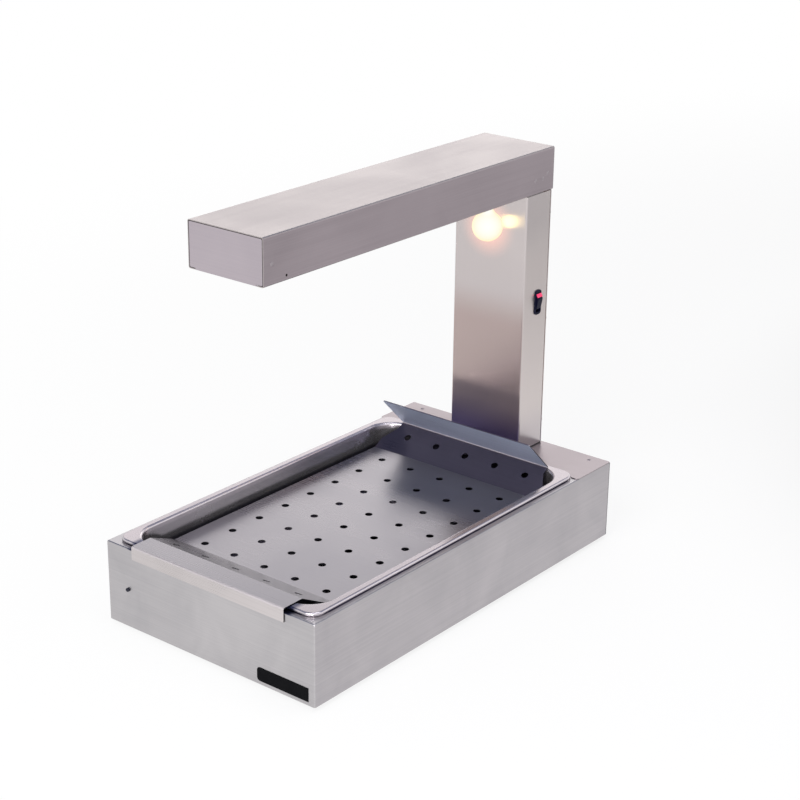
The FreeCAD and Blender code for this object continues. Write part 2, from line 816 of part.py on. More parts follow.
def column_back_cover():
    """Flat cover that closes the column from behind."""
    half = half_neck - seat_gap
    outline = [(front(-half, column_foot), 0), (front(half, column_foot), 0),
               (front(half, arm_bottom), 0), (front(-half, arm_bottom), 0)]
    return plate(outline, Y, column_rear - sheet, column_rear).cut(cover_screw_holes())


def column_screws():
    return Part.makeCompound([screw(at, Y, cover_screw_head_diameter, cover_screw_head_height,
                                    2 * sheet + cover_screw_tail) for at in cover_screw_seats()])


def column_head_bracket():
    """U bracket that joins the column's side walls to the arm's, with a wire way in its floor."""
    low = arm_bottom - head_bracket_reach
    high = arm_bottom + head_bracket_reach
    path = [front(-neck_inside, high), front(-neck_inside, low),
            front(neck_inside, low), front(neck_inside, high)]
    bracket = folded(path, head_bracket_sheet, -1, Y, head_bracket_front, head_bracket_rear)
    bracket = bracket.cut(upright_holes([(0, wire_way_y)], wire_way_diameter, low))
    return bracket.cut(arm_rivet_holes())


def arm_rivet_seats():
    """Rivet seats on the arm's side walls, over the head bracket and at both end caps, with directions."""
    seats = []
    for s in (-1, 1):
        x = s * half_neck
        first = column_front + arm_rivet_from_column
        for y in (first, first + arm_rivet_pitch):
            seats.append((Vector(x, y, arm_bottom + arm_rivet_height), X * s, sheet + head_bracket_sheet))
        for y in (arm_front + cap_rivet_setback, arm_rear - cap_rivet_setback):
            seats.append((Vector(x, y, arm_bottom + cap_rivet_height), X * s, 2 * sheet + cap_seam))
    return seats


def arm_rivets():
    return Part.makeCompound([rivet(at, way, grip) for at, way, grip in arm_rivet_seats()])


def arm_rivet_holes():
    return [rod(rivet_hole_diameter, at - way * overrun, at + way * overrun)
            for at, way, _ in arm_rivet_seats()]


def arm_housing():
    """Inverted channel of the arm, with a lip turned in along each lower edge and a hole in each side."""
    inner = half_neck - arm_lip
    path = [front(-inner, arm_bottom), front(-half_neck, arm_bottom), front(-half_neck, arm_top),
            front(half_neck, arm_top), front(half_neck, arm_bottom), front(inner, arm_bottom)]
    channel = folded(path, sheet, 1, Y, arm_front, arm_rear)
    over_column = block((-neck_inside, neck_inside), (column_front + sheet, column_rear - sheet),
                        (arm_bottom - overrun, arm_bottom + sheet + bend))
    at = side(arm_front + side_hole_from_front, arm_bottom + side_hole_height)
    side_holes = rod(side_hole_diameter, at - X * (half_neck + overrun), at + X * (half_neck + overrun))
    return channel.cut([over_column, side_holes] + arm_rivet_holes())


def end_cap(face, inward):
    """Shallow tray that closes one end of the arm: its face reaches down between the lips."""
    half = neck_inside - cap_seam
    low = arm_bottom + sheet + cap_seam
    high = arm_top - sheet - cap_seam
    corners = [(front(-half, low), bend), (front(half, low), bend),
               (front(half, high), bend), (front(-half, high), bend)]
    tray = plate(corners, Y, face, face + inward * cap_flange)
    back = face + inward * sheet
    hollow = block((sheet - half, half - sheet), sorted((back, face + inward * (cap_flange + overrun))),
                   (low + sheet, high - sheet))
    between_lips = half_neck - arm_lip - cap_seam
    tongue = block((-between_lips, between_lips), sorted((face, back)), (arm_bottom, low + sheet))
    return tray.cut([hollow] + arm_rivet_holes()).fuse(tongue).removeSplitter()


def arm_front_cap():
    return end_cap(arm_front, 1)


def arm_back_cap():
    return end_cap(arm_rear, -1)


def reflector():
    """Folded trough over the heating element, open downward, standing on the arm's lips."""
    low = arm_bottom + sheet
    crown = reflector_crown_top
    mouth = reflector_mouth / 2
    top = reflector_crown / 2
    seat = low + reflector_sheet
    path = [front(-arm_fit, seat), front(-mouth, seat), front(-top, crown),
            front(top, crown), front(mouth, seat), front(arm_fit, seat)]
    trough = folded(path, reflector_sheet, 1, Y, reflector_front, reflector_rear)
    outline = [(front(-mouth, seat), 0), (front(mouth, seat), 0),
               (front(top, crown), 0), (front(-top, crown), 0)]
    end = plate(outline, Y, reflector_front, reflector_front + reflector_sheet)
    return trough.fuse(end).removeSplitter()


def heating_element():
    """Tubular element bent to a hairpin, both ends at the terminal plate."""
    radius = element_spacing / 2
    bend_y = reflector_front + element_bend_from_end + radius
    centre = Vector(0, bend_y, element_level)
    leg_start = centre + X * radius
    section = Part.Face(Part.Wire(Part.makeCircle(element_diameter / 2, leg_start, Y)))
    turn = section.revolve(centre, Z, -180)
    legs = [rod(element_diameter, centre + X * (s * radius), Vector(s * radius, element_end, element_level))
            for s in (-1, 1)]
    return turn.fuse(legs).removeSplitter()


def element_brackets():
    """Hangers welded under the reflector's crown, each with two holes for the element's legs."""
    under = reflector_crown_top - reflector_sheet
    low = element_level - bracket_skirt
    brackets = []
    for share in element_bracket_shares:
        y = reflector_front + share * reflector_length
        path = [side(y, low), side(y, under), side(y + bracket_foot, under)]
        hanger = folded(path, sheet, -1, X, -bracket_width / 2, bracket_width / 2)
        brackets.append(hanger.cut([rod(leg_hole_diameter, at - Y * overrun, at + Y * overrun)
                                    for at in leg_points(y)]))
    return Part.makeCompound(brackets)


def terminal_plate():
    """Wall behind the reflector that carries the element's ends, hung from the arm's top."""
    path = [side(terminal_plate_front, arm_bottom + sheet), side(terminal_plate_front, arm_top - sheet),
            side(terminal_plate_front + terminal_flange, arm_top - sheet)]
    wall = folded(path, sheet, -1, X, -arm_fit, arm_fit)
    return wall.cut([rod(bush_body_diameter + 2 * bush_clearance, at - Y * overrun, at + Y * overrun)
                     for at in leg_points(terminal_plate_front)])


def leg_points(y):
    """Points on the axes of the element's two legs."""
    return [Vector(s * element_spacing / 2, y, element_level) for s in (-1, 1)]


def ceramic_bushes():
    """Ceramic bush round each leg, its collar against the front of the terminal plate."""
    bushes = []
    for at in leg_points(terminal_plate_front):
        collar = rod(bush_collar_diameter, at - Y * bush_collar, at)
        body = rod(bush_body_diameter, at, at + Y * (sheet + bush_tail))
        bore = rod(leg_hole_diameter, at - Y * (bush_collar + overrun),
                   at + Y * (sheet + bush_tail + overrun))
        bushes.append(collar.fuse(body).removeSplitter().cut(bore))
    return Part.makeCompound(bushes)


def element_terminals():
    """Threaded pin and nut on the cold end of each leg."""
    return Part.makeCompound([rod(pin_diameter, at, at + Y * pin_length).fuse(
        hexagon(pin_nut_flats, at + Y * pin_nut_height, at + Y * (2 * pin_nut_height))).removeSplitter()
        for at in leg_points(element_end)])


def lamp_plate():
    """Tray between the reflector and the column that closes the arm from below and carries the lamp."""
    low = arm_bottom + sheet
    start = terminal_plate_front + sheet + seat_gap
    end = column_front - seat_gap
    path = [side(start, low + lamp_plate_upstand), side(start, low),
            side(end, low), side(end, low + lamp_plate_upstand)]
    tray = folded(path, sheet, 1, X, -arm_fit, arm_fit)
    hole = holder_diameter + 2 * holder_plate_gap
    return tray.cut(upright_holes([(lamp_x, lamp_y)], hole, low))


def lamp_holder():
    """Round screw holder, its collar on the lamp plate and its skirt through it."""
    low = arm_bottom - holder_skirt
    seat = arm_bottom + 2 * sheet
    at = Vector(lamp_x, lamp_y, 0)
    top = low + holder_height
    body = rod(holder_diameter, at + Z * low, at + Z * top)
    body = rounded(body, holder_edge_radius, lambda p: at_level(p.z, top))
    collar = rod(holder_collar_diameter, at + Z * seat, at + Z * (seat + holder_collar_height))
    bore = rod(lamp_cap_diameter + 2 * holder_bore_gap, at + Z * (low - overrun),
               at + Z * (lamp_cap_base() + lamp_cap_length + lamp_contact_length + holder_bore_gap))
    return body.fuse(collar).removeSplitter().cut(bore)


def lamp_cap_base():
    """Level of the lamp cap's open end, round the glass neck."""
    return lamp_centre + lamp_neck_length - lamp_cap_overlap


def lamp_glass():
    """Thin round bulb with a waisted shoulder and a neck that enters the cap."""
    outer = glass_profile(0, 0)
    inner = glass_profile(lamp_glass_wall, overrun)
    return outer.cut(inner)


def glass_profile(inset, extra):
    """Solid of revolution: ball, concave shoulder and neck, drawn in by an inset."""
    ball = lamp_glass_diameter / 2 - inset
    neck = lamp_neck_diameter / 2 - inset
    shoulder = lamp_shoulder_radius + inset
    across = neck + shoulder
    rise = math.sqrt((ball + shoulder) ** 2 - across ** 2)
    meet = Vector(across * ball / (ball + shoulder), 0, rise * ball / (ball + shoulder))
    shoulder_centre = Vector(across, 0, rise)
    halfway = (meet - shoulder_centre).normalize() + Vector(-1, 0, 0)
    shoulder_middle = shoulder_centre + halfway.normalize() * shoulder
    bottom = Vector(0, 0, -ball)
    half_turn = Vector(ball, 0, 0)
    neck_low = Vector(neck, 0, rise)
    neck_high = Vector(neck, 0, lamp_neck_length + extra)
    axis_high = Vector(0, 0, lamp_neck_length + extra)
    lines = [Part.Arc(bottom, half_turn, meet), Part.Arc(meet, shoulder_middle, neck_low),
             Part.LineSegment(neck_low, neck_high), Part.LineSegment(neck_high, axis_high),
             Part.LineSegment(axis_high, bottom)]
    section = Part.Face(Part.Wire([line.toShape() for line in lines]))
    solid = section.revolve(Vector(0, 0, 0), Z, 360)
    solid.translate(Vector(lamp_x, lamp_y, lamp_centre))
    return solid


def lamp_cap():
    """Metal screw cap of the lamp, hollow round the glass neck, with its end contact."""
    at = Vector(lamp_x, lamp_y, lamp_cap_base())
    top = at + Z * lamp_cap_length
    bore = lamp_cap_diameter - 2 * lamp_cap_wall
    contact = Part.makeCone(bore / 2, lamp_contact_diameter / 2, lamp_contact_length, top)
    cup = rod(bore, at - Z * overrun, at + Z * (lamp_cap_overlap + seat_gap))
    return rod(lamp_cap_diameter, at, top).fuse(contact).removeSplitter().cut(cup)


def switch_body():
    """Moulded switch body and bezel in the column's right wall, with a pocket for the rocker."""
    face = half_neck
    half_length = switch_bezel_length / 2
    half_width = switch_bezel_width / 2
    bezel = plate([(side(switch_y + a * half_width, switch_z + b * half_length), switch_bezel_radius)
                   for a, b in ((-1, -1), (1, -1), (1, 1), (-1, 1))], X, face, face + switch_bezel_height)
    bezel = rounded(bezel, switch_bezel_edge, lambda p: at_level(p.x, face + switch_bezel_height))
    half_length = switch_body_length / 2
    half_width = switch_body_width / 2
    body = block((face - switch_body_depth, face), (switch_y - half_width, switch_y + half_width),
                 (switch_z - half_length, switch_z + half_length))
    half_width = rocker_width / 2 + rocker_side_gap
    half_length = math.hypot(rocker_half_length, rocker_shoulder) + rocker_end_gap
    pocket = block((face - switch_body_depth + switch_floor_wall, face + overrun),
                   (switch_y - half_width, switch_y + half_width),
                   (switch_z - half_length, switch_z + half_length))
    reach = Y * (half_width + rocker_pin_length)
    pivot = Vector(pivot_x, switch_y, switch_z)
    pins = rod(rocker_pin_diameter + 2 * rocker_pin_clearance, pivot - reach, pivot + reach)
    return bezel.fuse(body).removeSplitter().cut([pocket, pins])


def rocker_outline():
    """Rocker in side view about its pivot, before it tilts: a flat crown, two sloped ends, a round keel."""
    return [(front(rocker_shoulder, -rocker_half_length), 0),
            (front(rocker_crown, -rocker_crown_half), rocker_band_depth),
            (front(rocker_crown, rocker_crown_half), rocker_band_depth),
            (front(rocker_shoulder, rocker_half_length), 0),
            (front(-rocker_keel, 0), rocker_keel)]


def rocker_band_outline():
    """Coloured strip let into the rocker's upper slope."""
    end = front(rocker_shoulder, rocker_half_length)
    ridge = front(rocker_crown, rocker_crown_half)
    down = (end - ridge).normalize()
    inward = Y.cross(down) * rocker_band_depth
    near = ridge + down * (2 * rocker_band_depth)
    far = end - down * rocker_band_depth
    return [(near, 0), (far, 0), (far + inward, 0), (near + inward, 0)]


def tilted(shape):
    """Move a rocker shape from its pivot frame to its place, tilted with its upper end out."""
    shape.rotate(Vector(0, 0, 0), Y, rocker_tilt_degrees)
    shape.translate(Vector(pivot_x, switch_y, switch_z))
    return shape


def rocker_band():
    half = rocker_width / 2
    return tilted(plate(rocker_band_outline(), Y, -half, half))


def switch_rocker():
    """Black rocker with its two pivot pins; the coloured strip is let into its upper end."""
    half = rocker_width / 2
    rocker = plate(rocker_outline(), Y, -half, half)
    reach = half + rocker_side_gap + rocker_pin_length - rocker_pin_clearance
    rocker = rocker.fuse(rod(rocker_pin_diameter, Y * -reach, Y * reach)).removeSplitter()
    return tilted(rocker.cut(plate(rocker_band_outline(), Y, -half - overrun, half + overrun)))


def switch_terminals():
    """Flat tabs at the inner end of the switch."""
    inner = half_neck - switch_body_depth
    half = terminal_tab_width / 2
    levels = [switch_z + i * terminal_tab_pitch for i in (-1, 0, 1)]
    return Part.makeCompound([block((inner - terminal_tab_length, inner), (switch_y - half, switch_y + half),
                                    (level, level + terminal_tab_sheet)) for level in levels])


def cable_gland():
    """Gland in the back panel: a flats section, a domed nut and a threaded tail through the panel."""
    at = Vector(-gland_offset_x, base_length, gland_z)
    flats = hexagon(gland_flats, at, at + Y * gland_flange_height)
    tip = at + Y * gland_reach
    nose = rounded(rod(gland_dome_diameter, at, tip), gland_dome_radius, lambda p: at_level(p.y, tip.y))
    tail = rod(gland_thread_diameter, at - Y * gland_thread_length, at)
    body = flats.fuse([nose, tail]).removeSplitter()
    return body.cut(rod(gland_bore_diameter, at - Y * (gland_thread_length + overrun), tip + Y * overrun))


def gland_locknut():
    at = Vector(-gland_offset_x, shell_rear - gland_nut_height, gland_z)
    ring = hexagon(gland_flats, at, at + Y * gland_nut_height)
    bore = gland_thread_diameter + 2 * nut_slack
    return ring.cut(rod(bore, at - Y * overrun, at + Y * (gland_nut_height + overrun)))


def terminal_block():
    """Moulded block on the floor plate behind the pan, with a row of wire ways on each side."""
    y = base_length - block_from_rear
    body = block((-block_offset_x - block_length / 2, -block_offset_x + block_length / 2),
                 (y - block_width / 2, y + block_width / 2), (floor_top, floor_top + block_height))
    pitch = block_length / block_ways
    ways = []
    for i in range(block_ways):
        x = -block_offset_x + (i - (block_ways - 1) / 2) * pitch
        for s in (-1, 1):
            mouth = Vector(x, y + s * (block_width / 2 + overrun), floor_top + block_height / 2)
            ways.append(rod(block_way_diameter, mouth, mouth - Y * (s * (block_way_depth + overrun))))
    return body.cut(ways)


def earth_stud():
    at = Vector(-earth_offset_x, base_length - block_from_rear, floor_top)
    return rod(earth_base_diameter, at, at + Z * earth_base_height).fuse(
        rod(earth_diameter, at, at + Z * earth_height)).removeSplitter()


def earth_nut():
    at = Vector(-earth_offset_x, base_length - block_from_rear, floor_top + earth_base_height)
    return nut(at, earth_nut_flats, earth_nut_height, earth_diameter + 2 * nut_slack)


def each(places, make):
    """One group of like pieces, a separate solid at each place."""
    return Part.makeCompound([make(x, y) for x, y in places])


pieces = {
    "base_shell": base_shell(),
    "base_floor": base_floor(),
    "floor_screws": floor_screws(),
    "rubber_feet": each(foot_places, rubber_foot),
    "foot_screws": each(foot_places, foot_screw),
    "foot_nuts": each(foot_places, foot_nut),
    "back_panel": back_panel(),
    "column_crossmember": column_crossmember(),
    "rear_deck": rear_deck(),
    "deck_rivets": deck_rivets(),
    "front_plug": front_plug(),
    "gastronorm_pan": gastronorm_pan(),
    "drain_insert": drain_insert(),
    "column_gasket": column_gasket(),
    "column_foot_bracket": column_foot_bracket(),
    "foot_bolts": each(bolt_places, foot_bolt),
    "foot_bolt_nuts": each(bolt_places, foot_bolt_nut),
    "wire_grommet": wire_grommet(),
    "column_channel": column_channel(),
    "column_back_cover": column_back_cover(),
    "column_screws": column_screws(),
    "column_head_bracket": column_head_bracket(),
    "arm_rivets": arm_rivets(),
    "arm_housing": arm_housing(),
    "arm_front_cap": arm_front_cap(),
    "arm_back_cap": arm_back_cap(),
    "reflector": reflector(),
    "heating_element": heating_element(),
    "element_brackets": element_brackets(),
    "terminal_plate": terminal_plate(),
    "ceramic_bushes": ceramic_bushes(),
    "element_terminals": element_terminals(),
    "lamp_plate": lamp_plate(),
    "lamp_holder": lamp_holder(),
    "lamp_glass": lamp_glass(),
    "lamp_cap": lamp_cap(),
    "switch_body": switch_body(),
    "switch_rocker": switch_rocker(),
    "rocker_band": rocker_band(),
    "switch_terminals": switch_terminals(),
    "cable_gland": cable_gland(),
    "gland_locknut": gland_locknut(),
    "terminal_block": terminal_block(),
    "earth_stud": earth_stud(),
    "earth_nut": earth_nut(),
}

os.makedirs("parts", exist_ok=True)
for name, shape in pieces.items():
    shape.translate(Vector(0, -middle_y, 0))
    shape.exportStep("parts/" + name + ".step")
    state = "valid" if shape.isValid() else "INVALID"
    print(name, len(shape.Solids), "solids", round(shape.Volume, 1), "mm3", state)
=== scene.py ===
import math

import bpy
import numpy as np
from mathutils import Matrix, Vector


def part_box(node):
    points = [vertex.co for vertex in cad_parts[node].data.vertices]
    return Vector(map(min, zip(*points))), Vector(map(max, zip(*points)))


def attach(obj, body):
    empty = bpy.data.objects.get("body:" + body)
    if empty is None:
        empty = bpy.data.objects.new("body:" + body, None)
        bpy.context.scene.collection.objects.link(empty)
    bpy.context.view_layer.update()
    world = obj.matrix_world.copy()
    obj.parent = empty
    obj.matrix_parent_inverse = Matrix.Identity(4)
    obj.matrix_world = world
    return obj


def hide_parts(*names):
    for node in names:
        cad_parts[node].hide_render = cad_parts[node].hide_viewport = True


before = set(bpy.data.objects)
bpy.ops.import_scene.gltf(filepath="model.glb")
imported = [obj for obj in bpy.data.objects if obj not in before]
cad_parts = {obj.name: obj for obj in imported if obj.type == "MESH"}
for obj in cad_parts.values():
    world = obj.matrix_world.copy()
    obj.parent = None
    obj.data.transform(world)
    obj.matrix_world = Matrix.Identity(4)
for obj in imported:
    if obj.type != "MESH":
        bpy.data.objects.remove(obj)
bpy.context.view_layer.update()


# Camera. It stands where the photograph was taken from: to the front right of the warmer,
# above the arm, with a long lens and no shift.
camera_place = Vector((1.42054, -1.72373, 1.12811))
camera_turn = Vector((1.854809, 0.664088, -0.436360))
sensor_width = 36.0
focal_pixels = 1880.634
picture_pixels = 800.0
lens = bpy.data.cameras.new("camera")
lens.sensor_width = sensor_width
lens.lens = focal_pixels * sensor_width / picture_pixels
camera = bpy.data.objects.new("camera", lens)
bpy.context.scene.collection.objects.link(camera)
seen = Matrix.Rotation(camera_turn.length, 4, camera_turn.normalized())
camera.matrix_world = Matrix.Translation(camera_place) @ seen.transposed() @ Matrix.Diagonal((1, -1, -1, 1))
bpy.context.scene.camera = camera
bpy.context.scene.view_settings.view_transform = "Standard"


# Room. A plain pale floor without an edge in view, with a round patch of painted shade behind the
# warmer that darkens the metal's reflection of it, and a light studio that is darker overhead. Both
# show as white to the camera and in the metal, and the floor keeps the warmer's soft shadow.
white = (1.0, 1.0, 1.0, 1)
floor_half = 30.0
floor_white = (0.93, 0.93, 0.935)
floor_glow_share = 0.80
glow_near, glow_far = 1.4, 3.0
floor_shade = 0.72
shade_middle = (1.15, 1.35, 0.0)
shade_near, shade_far = 0.35, 1.35
room_ceiling = (0.19, 0.215, 0.33, 1)
room_fill = (0.50, 0.50, 0.52, 1)
ceiling_from, ceiling_full = 0.42, 0.70
measuring = ("DISTANCE", "DOT_PRODUCT", "LENGTH")


def node(tree, kind, sockets=None, **settings):
    """A shader node with its settings, and each named socket set to a value or linked."""
    made = tree.nodes.new(kind)
    for name, value in settings.items():
        setattr(made, name, value)
    for name, value in (sockets or {}).items():
        if isinstance(value, bpy.types.NodeSocket):
            tree.links.new(value, made.inputs[name])
        else:
            made.inputs[name].default_value = value
    return made


def value_of(tree, operation, *values):
    """Result of a Math node on values or sockets."""
    return node(tree, "ShaderNodeMath", dict(enumerate(values)), operation=operation).outputs[0]


def vector_of(tree, operation, *vectors):
    """Result of a Vector Math node: a vector, or a value where the operation measures."""
    made = node(tree, "ShaderNodeVectorMath", dict(enumerate(vectors)), operation=operation)
    return made.outputs["Value" if operation in measuring else "Vector"]


def ramped(tree, value, start, end, low=0.0, high=1.0, shape="SMOOTHSTEP"):
    """A value that goes from low to high while another goes from start to end."""
    return node(tree, "ShaderNodeMapRange", {0: value, 1: start, 2: end, 3: low, 4: high},
                interpolation_type=shape).outputs[0]


def blended(tree, factor, one, other, way="MIX"):
    """Mix of two colours by a factor."""
    return node(tree, "ShaderNodeMix", {"Factor": factor, "A": one, "B": other}, data_type="RGBA",
                blend_type=way).outputs["Result"]


def seen_ray(tree):
    """1 on rays that show the background: from the camera, off metal or through glass."""
    path = node(tree, "ShaderNodeLightPath").outputs
    some = value_of(tree, "MAXIMUM", path["Is Camera Ray"], path["Is Glossy Ray"])
    return value_of(tree, "MAXIMUM", some, path["Is Transmission Ray"])


def surface(name, points, faces, smooth):
    """A mesh object from lists of points and of faces, smooth or flat."""
    mesh = bpy.data.meshes.new(name)
    mesh.from_pydata(points, [], faces)
    mesh.polygons.foreach_set("use_smooth", np.full(len(mesh.polygons), smooth))
    made = bpy.data.objects.new(name, mesh)
    bpy.context.scene.collection.objects.link(made)
    return made


floor_corners = np.array([(-1, -1, 0), (1, -1, 0), (1, 1, 0), (-1, 1, 0)]) * floor_half
floor = surface("studio_floor", floor_corners.tolist(), [[0, 1, 2, 3]], False)
floor_look = bpy.data.materials.new("floor_paper")
floor_look.use_nodes = True
tree = floor_look.node_tree
tree.nodes.clear()
# Painted shade: a round patch of the floor behind the warmer is darker.
away = vector_of(tree, "DISTANCE", node(tree, "ShaderNodeTexCoord").outputs["Object"], shade_middle)
pale = ramped(tree, away, shade_near, shade_far, floor_shade, 1.0)
tone = node(tree, "ShaderNodeVectorMath", {0: floor_white, "Scale": pale}, operation="SCALE")
paper = node(tree, "ShaderNodeBsdfDiffuse", {"Color": tone.outputs[0]})
glow = node(tree, "ShaderNodeEmission", {"Color": white, "Strength": pale})
glow_share = ramped(tree, away, glow_near, glow_far, floor_glow_share, 1.0)
share = value_of(tree, "MULTIPLY", seen_ray(tree), glow_share)
floor_mix = node(tree, "ShaderNodeMixShader", {0: share, 1: paper.outputs[0], 2: glow.outputs[0]})
node(tree, "ShaderNodeOutputMaterial", {"Surface": floor_mix.outputs[0]})
floor.data.materials.append(floor_look)

room = bpy.data.worlds.new("room")
bpy.context.scene.world = room
room.use_nodes = True
tree = room.node_tree
tree.nodes.clear()
way = node(tree, "ShaderNodeSeparateXYZ", {0: node(tree, "ShaderNodeTexCoord").outputs["Generated"]})
overhead = ramped(tree, way.outputs["Z"], ceiling_from, ceiling_full)
sky = blended(tree, overhead, white, room_ceiling)
air = node(tree, "ShaderNodeBackground",
           {"Color": blended(tree, seen_ray(tree), room_fill, sky), "Strength": 1.0})
node(tree, "ShaderNodeOutputWorld", {"Surface": air.outputs[0]})

# Four flat soft lamps: name, place, point that it faces, width and height, power and colour.
softboxes = (
    ("key", (0.5, -2.6, 2.2), (0, 0, 0.2), (1.8, 1.8), 46, white[:3]),
    ("rear", (-1.9, 2.4, 1.3), (0, 0, 0.4), (2.4, 1.2), 9, (1.0, 0.95, 0.92)),
    ("top", (0.6, 0.1, 2.7), (0, 0, 0.2), (1.8, 1.8), 22, white[:3]),
    ("low", (1.6, -1.9, 0.35), (0.17, -0.3, 0.1), (0.5, 0.5), 16, white[:3]),
)
for name, place, aim, (width, height), power, colour in softboxes:
    lamp = bpy.data.lights.new(name, "AREA")
    lamp.shape = "RECTANGLE"
    lamp.size = width
    lamp.size_y = height
    lamp.energy = power
    lamp.color = colour
    softbox = bpy.data.objects.new(name, lamp)
    bpy.context.scene.collection.objects.link(softbox)
    softbox.location = place
    softbox.rotation_euler = (Vector(aim) - Vector(place)).to_track_quat("-Z", "Y").to_euler()


# Base. One sheet of brushed stainless steel, 1.2 mm, wraps the front and both sides and turns
# in as a ledge round the pan. Its grain runs along the sheet, and handling leaves faint marks.
# A grain is given as scratches per metre along each axis.
along_sheet = (3.0, 3.0, 700.0)
cloud_share, scratch_share = 0.55, 0.45
grain_low, grain_high = 0.36, 0.64
steel_relief = 0.5
base_tones = {"light": (0.54, 0.52, 0.53), "dark": (0.43, 0.415, 0.43), "smooth": 0.30, "rough": 0.42}
base_cloud = 12.0
base_side_painted_shade = (0.92, 0.905, 0.92)
panel_edge_painted_shade = (0.2, 0.2, 0.22)


def group(name, inputs, outputs):
    """An empty node group with its sockets, and the nodes at its two ends."""
    made = bpy.data.node_groups.new(name, "ShaderNodeTree")
    for label, kind, value in inputs:
        socket = made.interface.new_socket(label, in_out="INPUT", socket_type=kind)
        socket.default_value = value
    for label, kind in outputs:
        made.interface.new_socket(label, in_out="OUTPUT", socket_type=kind)
    return made, made.nodes.new("NodeGroupInput").outputs, made.nodes.new("NodeGroupOutput").inputs


def noise(tree, place, **sockets):
    """Value of a noise texture at a place."""
    return node(tree, "ShaderNodeTexNoise", {"Vector": place, **sockets}).outputs[0]


def coat_outputs(tree, ends, spread_by, low, high, given, relief):
    """Links a grain group's ends: colour and roughness follow one value, and relief another."""
    spread = ramped(tree, spread_by, low, high, shape="LINEAR")
    polish = ramped(tree, spread_by, low, high, given["Smooth"], given["Rough"], "LINEAR")
    tree.links.new(blended(tree, spread, given["Dark"], given["Light"]), ends["Colour"])
    tree.links.new(polish, ends["Roughness"])
    tree.links.new(relief, ends["Height"])


coat_ends = [("Colour", "NodeSocketColor"), ("Roughness", "NodeSocketFloat"), ("Height", "NodeSocketFloat")]
mask_end = [("Mask", "NodeSocketFloat")]

brushed, given, ends = group(
    "brushed_grain",
    [("Grain", "NodeSocketVector", along_sheet), ("Cloud", "NodeSocketFloat", 7.0),
     ("Light", "NodeSocketColor", (0.5, 0.5, 0.5, 1)), ("Dark", "NodeSocketColor", (0.4, 0.4, 0.4, 1)),
     ("Smooth", "NodeSocketFloat", 0.25), ("Rough", "NodeSocketFloat", 0.4)],
    coat_ends)
at = node(brushed, "ShaderNodeTexCoord").outputs["Object"]
stretched = vector_of(brushed, "MULTIPLY", at, given["Grain"])
scratch = noise(brushed, stretched, Scale=1.0, Detail=5.0, Roughness=0.62)
cloudy = noise(brushed, at, Scale=given["Cloud"], Detail=3.0, Roughness=0.5, Distortion=0.6)
scratched = value_of(brushed, "MULTIPLY", scratch, scratch_share)
both = value_of(brushed, "MULTIPLY_ADD", cloudy, cloud_share, scratched)
coat_outputs(brushed, ends, both, grain_low, grain_high, given, scratch)


def shader(name, **constants):
    """A material with one Principled shader, whose constants are set on its own sockets."""
    look = bpy.data.materials.new(name)
    look.use_nodes = True
    tree = look.node_tree
    tree.nodes.clear()
    skin = node(tree, "ShaderNodeBsdfPrincipled",
                {label.replace("_", " "): value for label, value in constants.items()})
    node(tree, "ShaderNodeOutputMaterial", {"Surface": skin.outputs[0]})
    return look, tree, skin


def coated(name, grain_group, values, depth, strength, constants):
    """A material whose colour, roughness and fine relief come from a grain group."""
    look, tree, skin = shader(name, **constants)
    coat = node(tree, "ShaderNodeGroup", values, node_tree=grain_group).outputs
    relief = node(tree, "ShaderNodeBump", {"Height": coat["Height"], "Distance": depth, "Strength": strength})
    tree.links.new(coat["Colour"], skin.inputs["Base Color"])
    tree.links.new(coat["Roughness"], skin.inputs["Roughness"])
    tree.links.new(relief.outputs[0], skin.inputs["Normal"])
    return look


def brushed_steel(name, light, dark, grain, smooth, rough, cloud=7.0, depth=0.00004, **constants):
    """Brushed sheet metal, all metallic unless a constant says otherwise."""
    values = {"Grain": grain, "Cloud": cloud, "Light": (*light, 1), "Dark": (*dark, 1), "Smooth": smooth,
              "Rough": rough}
    return coated(name, brushed, values, depth, steel_relief, {"Metallic": 1.0, **constants})


def finish(look, *names):
    """Gives CAD pieces a material."""
    for name in names:
        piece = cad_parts[name]
        if not piece.material_slots:
            piece.data.materials.append(look)
        for place in piece.material_slots:
            place.material = look


def skin_of(look):
    """The Principled shader of a material."""
    return next(part for part in look.node_tree.nodes if part.bl_idname == "ShaderNodeBsdfPrincipled")


def tinted(look, mask, tint):
    """Multiplies a material's colour by a tint where a mask is 1."""
    tree = look.node_tree
    colour = skin_of(look).inputs["Base Color"]
    veil = blended(tree, mask, white, (*tint, 1))
    tree.links.new(blended(tree, 1.0, colour.links[0].from_socket, veil, "MULTIPLY"), colour)


# Sheared edges and side walls, which look straight to one side.
sideways, given, ends = group("sheared_edges", [("Start", "NodeSocketFloat", 0.9)], mask_end)
facing = node(sideways, "ShaderNodeSeparateXYZ", {0: node(sideways, "ShaderNodeTexCoord").outputs["Normal"]})
turned = value_of(sideways, "ABSOLUTE", facing.outputs["X"])
sideways.links.new(value_of(sideways, "GREATER_THAN", turned, given["Start"]), ends["Mask"])


def group_mask(look, made):
    """Mask that a node group puts out in a material."""
    return node(look.node_tree, "ShaderNodeGroup", node_tree=made).outputs["Mask"]


base_steel = brushed_steel("base_steel", grain=along_sheet, cloud=base_cloud, **base_tones)
finish(base_steel, "base_shell")
panel_steel = brushed_steel("panel_steel", grain=along_sheet, cloud=base_cloud, **base_tones)
# Painted shade: the back panel's edges that look sideways are dark, for the shade in the seams beside them.
tinted(panel_steel, group_mask(panel_steel, sideways), panel_edge_painted_shade)
finish(panel_steel, "back_panel")
